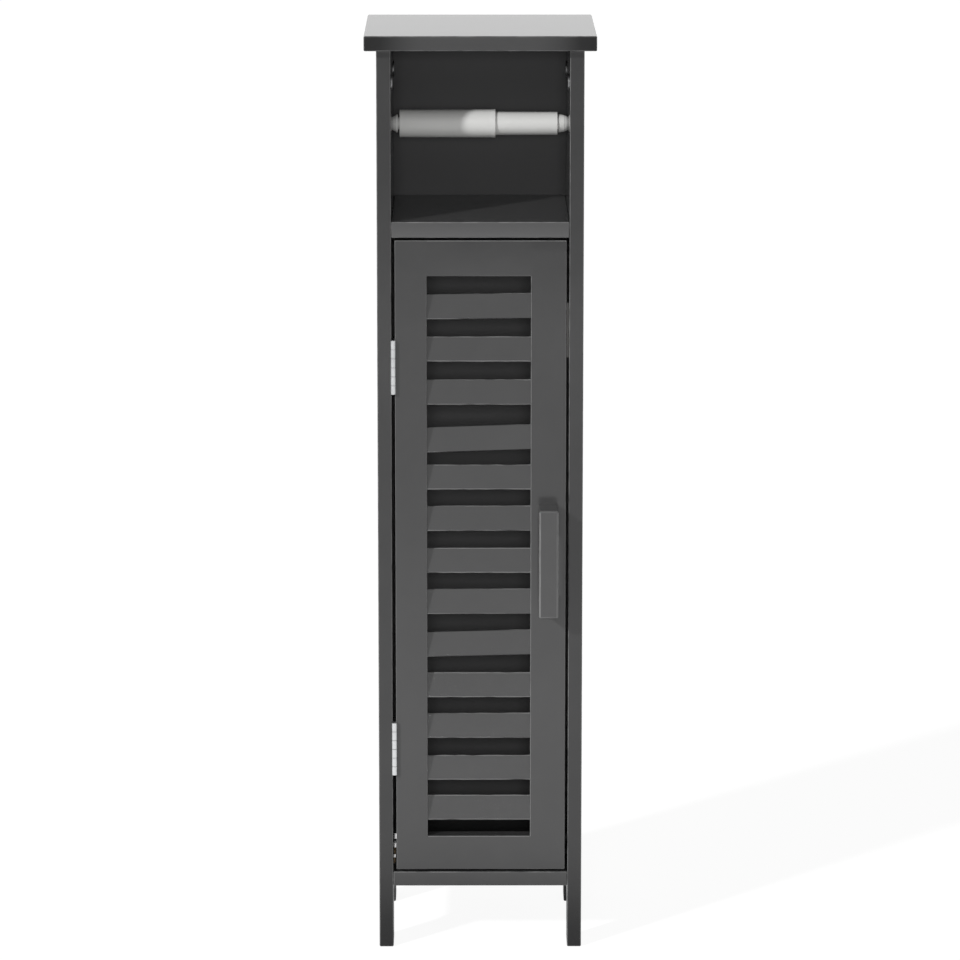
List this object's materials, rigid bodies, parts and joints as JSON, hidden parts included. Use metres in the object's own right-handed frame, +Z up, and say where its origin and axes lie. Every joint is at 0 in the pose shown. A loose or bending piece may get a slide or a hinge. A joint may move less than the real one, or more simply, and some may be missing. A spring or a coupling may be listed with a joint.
{
  "type": "toilet roll storage cabinet",
  "caption": "Narrow free-standing bathroom cabinet with an open niche holding a sprung roll spindle above a louvred hinged door with a bar handle.",
  "frame": {"origin": "bottom centre of the bounding box, on the floor", "axes": "+Z up along the height, +Y from the door to the back, +X to the right as seen from the front (hinges at -X, handle at +X)"},
  "size_m": [0.192, 0.201, 0.78],
  "materials": {
    "painted_board": "satin dark grey paint on fibreboard",
    "back_board": "thin hardboard, dark grey foil",
    "zinc_steel": "bright zinc plate",
    "bare_steel": "plain bright steel",
    "dowel_wood": "fluted birch, unpainted",
    "catch_plastic": "moulded light grey",
    "magnet": "sintered ferrite, matt",
    "white_plastic": "satin white moulding"
  },
  "bodies": {
    "cabinet": {"top_board": "painted_board", "left_side_panel": "painted_board", "right_side_panel": "painted_board", "shelf_board": "painted_board", "base_board": "painted_board", "back_panel": "back_board", "back_panel_nails": "zinc_steel", "cam_locks": "zinc_steel", "cam_bolts": "zinc_steel", "upper_hinge_frame_leaf": "zinc_steel", "upper_hinge_pin": "zinc_steel", "lower_hinge_frame_leaf": "zinc_steel", "lower_hinge_pin": "zinc_steel", "hinge_frame_screws": "zinc_steel", "catch_screws": "zinc_steel", "catch_pole_plates": "bare_steel", "case_dowels": "dowel_wood", "catch_housing": "catch_plastic", "catch_magnet": "magnet"},
    "door": {"door_hinge_stile": "painted_board", "door_handle_stile": "painted_board", "door_top_rail": "painted_board", "door_bottom_rail": "painted_board", "door_dowels": "dowel_wood", "door_handle": "painted_board", "handle_screws": "zinc_steel", "upper_hinge_door_leaf": "zinc_steel", "lower_hinge_door_leaf": "zinc_steel", "hinge_door_screws": "zinc_steel", "strike_plate": "bare_steel", "strike_screws": "zinc_steel", "louvre_01": "painted_board", "louvre_02": "painted_board", "louvre_03": "painted_board", "louvre_04": "painted_board", "louvre_05": "painted_board", "louvre_06": "painted_board", "louvre_07": "painted_board", "louvre_08": "painted_board", "louvre_09": "painted_board", "louvre_10": "painted_board", "louvre_11": "painted_board", "louvre_12": "painted_board", "louvre_13": "painted_board"},
    "spindle_wide": {"spindle_wide_tube": "white_plastic", "spindle_spring": "bare_steel"},
    "spindle_narrow": {"spindle_narrow_tube": "white_plastic"}
  },
  "joints": [
    {"name": "door_hinge", "type": "hinge", "parent": "cabinet", "child": "door", "pos_m": [-0.07265, -0.0718, 0.3389], "axis": [0, 0, -1], "range_deg": [0, 180]},
    {"name": "spindle_turn", "type": "hinge", "parent": "cabinet", "child": "spindle_wide", "pos_m": [0, 0.0075, 0.6975], "axis": [1, 0, 0], "continuous": true},
    {"name": "spindle_press", "type": "slide", "parent": "spindle_wide", "child": "spindle_narrow", "axis": [-1, 0, 0], "range_m": [0, 0.025], "stiffness_N_per_m": 250, "springref_m": -0.02, "deforming": ["spindle_spring"]}
  ]
}
